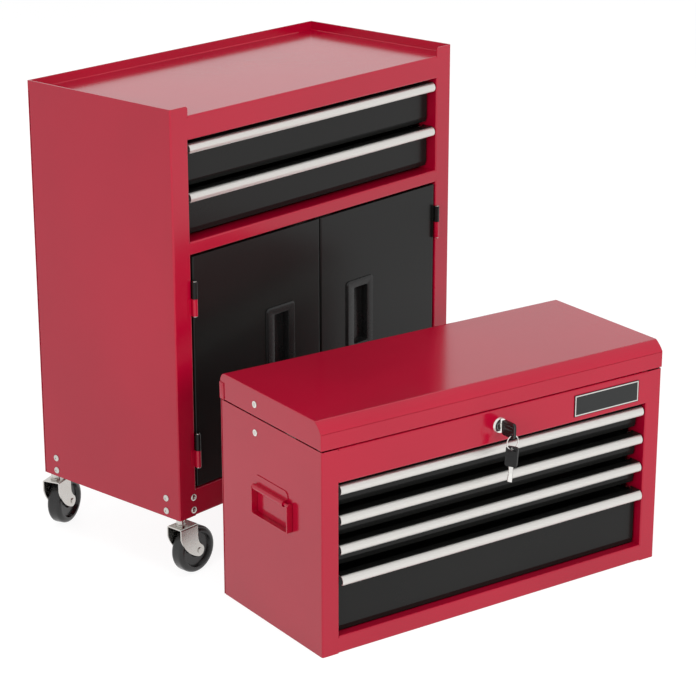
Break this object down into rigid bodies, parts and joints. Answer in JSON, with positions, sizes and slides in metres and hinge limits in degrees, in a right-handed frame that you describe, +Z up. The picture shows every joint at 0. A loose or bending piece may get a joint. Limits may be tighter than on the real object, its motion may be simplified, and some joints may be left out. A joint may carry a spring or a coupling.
{
  "type": "tool trolley with top box",
  "caption": "Red steel tool trolley on swivel casters with drawers over a two door cupboard, and a separate top box with hinged lid and drawers standing in front of it.",
  "frame": {"origin": "middle of the trolley cabinet's footprint, on the floor", "axes": "+X to the trolley's right, +Y from its front to its back, +Z up; the top box stands in front, turned 14 degrees clockwise from above"},
  "size_m": [0.7223, 0.7908, 0.708],
  "materials": {
    "red_paint": "gloss powder coat",
    "black_paint": "satin",
    "plated_pull": "satin plated",
    "zinc": "bright zinc",
    "black_plastic": "moulded",
    "wheel_plastic": "moulded",
    "chrome": "polished",
    "nameplate": "satin"
  },
  "bodies": {
    "trolley": {"trolley_side_left": "red_paint", "trolley_side_right": "red_paint", "trolley_back": "red_paint", "trolley_top_tray": "red_paint", "trolley_mid_rail": "red_paint", "trolley_base": "red_paint", "trolley_runners": "zinc", "door_hinge_frame_leaves": "red_paint", "door_hinge_pins": "zinc", "door_catches": "zinc", "caster_brackets": "zinc", "caster_bracket_bolts": "zinc", "caster_stems": "zinc"},
    "upper_drawer": {"trolley_drawer_upper": "black_paint", "trolley_drawer_upper_pull": "plated_pull"},
    "lower_drawer": {"trolley_drawer_lower": "black_paint", "trolley_drawer_lower_pull": "plated_pull"},
    "left_door": {"door_left": "black_paint", "door_left_pull": "black_plastic", "door_left_hinge_leaves": "black_paint"},
    "right_door": {"door_right": "black_paint", "door_right_pull": "black_plastic", "door_right_hinge_leaves": "black_paint"},
    "top_box": {"box_side_left": "red_paint", "box_side_right": "red_paint", "box_back": "red_paint", "box_floor": "red_paint", "box_front_panel": "red_paint", "box_till_floor": "red_paint", "box_runners": "zinc", "box_nameplate": "nameplate", "lid_hinge_lower_leaf": "zinc", "lock_body": "chrome", "handle_brackets": "red_paint"},
    "box_cover": {"box_lid": "red_paint", "lid_hinge_upper_leaf": "zinc"},
    "stay_lower": {"lid_stay_lower_links": "zinc"},
    "stay_upper": {"lid_stay_upper_links": "zinc"},
    "lock_turning": {"lock_plug": "chrome"},
    "key": {"lock_key": "chrome"},
    "ring": {"key_ring": "chrome"},
    "left_bail": {"handle_bail_left": "red_paint"},
    "right_bail": {"handle_bail_right": "red_paint"},
    "box_tray_1": {"box_drawer_1": "black_paint", "box_drawer_1_pull": "plated_pull"},
    "box_tray_2": {"box_drawer_2": "black_paint", "box_drawer_2_pull": "plated_pull"},
    "box_tray_3": {"box_drawer_3": "black_paint", "box_drawer_3_pull": "plated_pull"},
    "box_tray_4": {"box_drawer_4": "black_paint", "box_drawer_4_pull": "plated_pull"},
    "front_left_caster": {"caster_front_left_fork": "zinc"},
    "front_left_roller": {"caster_front_left_wheel": "wheel_plastic"},
    "front_right_caster": {"caster_front_right_fork": "zinc"},
    "front_right_roller": {"caster_front_right_wheel": "wheel_plastic"},
    "rear_left_caster": {"caster_rear_left_fork": "zinc"},
    "rear_left_roller": {"caster_rear_left_wheel": "wheel_plastic"},
    "rear_right_caster": {"caster_rear_right_fork": "zinc"},
    "rear_right_roller": {"caster_rear_right_wheel": "wheel_plastic"}
  },
  "joints": [
    {"name": "upper_drawer_slide", "type": "slide", "parent": "trolley", "child": "upper_drawer", "axis": [0, -1, 0], "range_m": [0, 0.2]},
    {"name": "lower_drawer_slide", "type": "slide", "parent": "trolley", "child": "lower_drawer", "axis": [0, -1, 0], "range_m": [0, 0.2]},
    {"name": "left_door_swing", "type": "hinge", "parent": "trolley", "child": "left_door", "pos_m": [-0.27225, -0.15295, 0.3], "axis": [0, 0, -1], "range_deg": [0, 29]},
    {"name": "right_door_swing", "type": "hinge", "parent": "trolley", "child": "right_door", "pos_m": [0.27225, -0.15295, 0.3], "axis": [0, 0, 1], "range_deg": [0, 35]},
    {"name": "box_lift", "type": "slide", "parent": "trolley", "child": "top_box", "axis": [0, 0, 1], "range_m": [0, 0.7]},
    {"name": "box_drawer_1_slide", "type": "slide", "parent": "top_box", "child": "box_tray_1", "axis": [-0.2412, -0.9705, 0], "range_m": [0, 0.17]},
    {"name": "box_drawer_2_slide", "type": "slide", "parent": "top_box", "child": "box_tray_2", "axis": [-0.2412, -0.9705, 0], "range_m": [0, 0.17]},
    {"name": "box_drawer_3_slide", "type": "slide", "parent": "top_box", "child": "box_tray_3", "axis": [-0.2412, -0.9705, 0], "range_m": [0, 0.17]},
    {"name": "box_drawer_4_slide", "type": "slide", "parent": "top_box", "child": "box_tray_4", "axis": [-0.2412, -0.9705, 0], "range_m": [-0.004, 0.166]},
    {"name": "lid_hinge", "type": "hinge", "parent": "top_box", "child": "box_cover", "pos_m": [-0.00805, -0.30002, 0.3025], "axis": [-0.9705, 0.2412, 0], "range_deg": [0, 95]},
    {"name": "stay_foot_pivot", "type": "hinge", "parent": "top_box", "child": "stay_lower", "pos_m": [-0.03077, -0.39144, 0.2796], "axis": [-0.9705, 0.2412, 0], "range_deg": [0, 95]},
    {"name": "stay_head_pivot", "type": "hinge", "parent": "box_cover", "child": "stay_upper", "pos_m": [-0.03102, -0.39241, 0.322], "axis": [-0.9705, 0.2412, 0], "range_deg": [-95, 0]},
    {"name": "lock_turn", "type": "hinge", "parent": "top_box", "child": "lock_turning", "pos_m": [-0.07058, -0.55157, 0.2774], "axis": [0.2412, 0.9705, 0], "range_deg": [0, 90]},
    {"name": "key_pull", "type": "slide", "parent": "lock_turning", "child": "key", "axis": [-0.2412, -0.9705, 0], "range_m": [0, 0.03]},
    {"name": "ring_swing", "type": "hinge", "parent": "key", "child": "ring", "pos_m": [-0.07758, -0.57971, 0.2708], "axis": [-0.9705, 0.2412, 0], "range_deg": [-12, 70]},
    {"name": "left_bail_swing", "type": "hinge", "parent": "top_box", "child": "left_bail", "pos_m": [-0.33911, -0.36297, 0.201], "axis": [0.2412, 0.9705, 0], "range_deg": [0, 90]},
    {"name": "right_bail_swing", "type": "hinge", "parent": "top_box", "child": "right_bail", "pos_m": [0.25501, -0.51066, 0.201], "axis": [-0.2412, -0.9705, 0], "range_deg": [0, 90]},
    {"name": "front_left_swivel", "type": "hinge", "parent": "trolley", "child": "front_left_caster", "pos_m": [-0.2975, -0.138, 0.08], "axis": [0, 0, 1], "continuous": true},
    {"name": "front_left_roll", "type": "hinge", "parent": "front_left_caster", "child": "front_left_roller", "pos_m": [-0.273, -0.13757, 0.036], "axis": [-0.0175, 0.9998, 0], "continuous": true},
    {"name": "front_right_swivel", "type": "hinge", "parent": "trolley", "child": "front_right_caster", "pos_m": [0.2975, -0.138, 0.08], "axis": [0, 0, 1], "continuous": true},
    {"name": "front_right_roll", "type": "hinge", "parent": "front_right_caster", "child": "front_right_roller", "pos_m": [0.32147, -0.13291, 0.036], "axis": [-0.2079, 0.9781, 0], "continuous": true},
    {"name": "rear_left_swivel", "type": "hinge", "parent": "trolley", "child": "rear_left_caster", "pos_m": [-0.2975, 0.138, 0.08], "axis": [0, 0, 1], "continuous": true},
    {"name": "rear_left_roll", "type": "hinge", "parent": "rear_left_caster", "child": "rear_left_roller", "pos_m": [-0.2742, 0.14557, 0.036], "axis": [-0.309, 0.9511, 0], "continuous": true},
    {"name": "rear_right_swivel", "type": "hinge", "parent": "trolley", "child": "rear_right_caster", "pos_m": [0.2975, 0.138, 0.08], "axis": [0, 0, 1], "continuous": true},
    {"name": "rear_right_roll", "type": "hinge", "parent": "rear_right_caster", "child": "rear_right_roller", "pos_m": [0.32191, 0.14014, 0.036], "axis": [-0.0872, 0.9962, 0], "continuous": true}
  ],
  "couplings": [
    {"joint": "stay_foot_pivot", "follows": "lid_hinge", "ratio": 1},
    {"joint": "stay_head_pivot", "follows": "lid_hinge", "ratio": -1}
  ]
}
